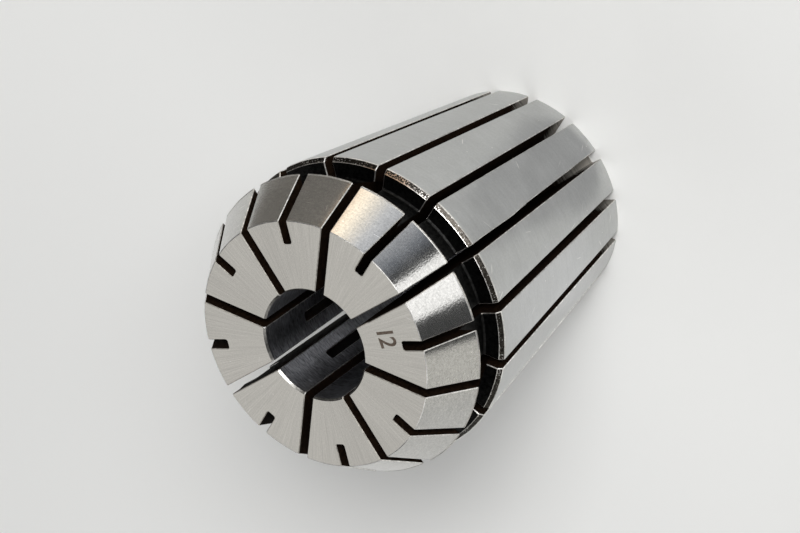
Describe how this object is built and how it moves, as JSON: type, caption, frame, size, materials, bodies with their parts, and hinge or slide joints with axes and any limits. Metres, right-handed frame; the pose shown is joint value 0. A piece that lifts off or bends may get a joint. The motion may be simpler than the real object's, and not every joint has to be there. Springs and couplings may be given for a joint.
{
  "type": "er collet",
  "caption": "Slotted steel spring collet with a plain bore, a long shallow taper, a short steep nose taper and an extractor groove.",
  "frame": {"origin": "centre of the rear face, which is the small end that the collet stands on", "axes": "+Z along the bore axis from the rear face to the nose face; +X in the plane of one of the slots that are open at the nose"},
  "size_m": [0.033, 0.033, 0.04],
  "materials": {
    "spring_steel": "ground on the faces, tapers and bore, black oxide in the slots and the groove"
  },
  "bodies": {
    "root": {"collet": "spring_steel"}
  },
  "joints": []
}
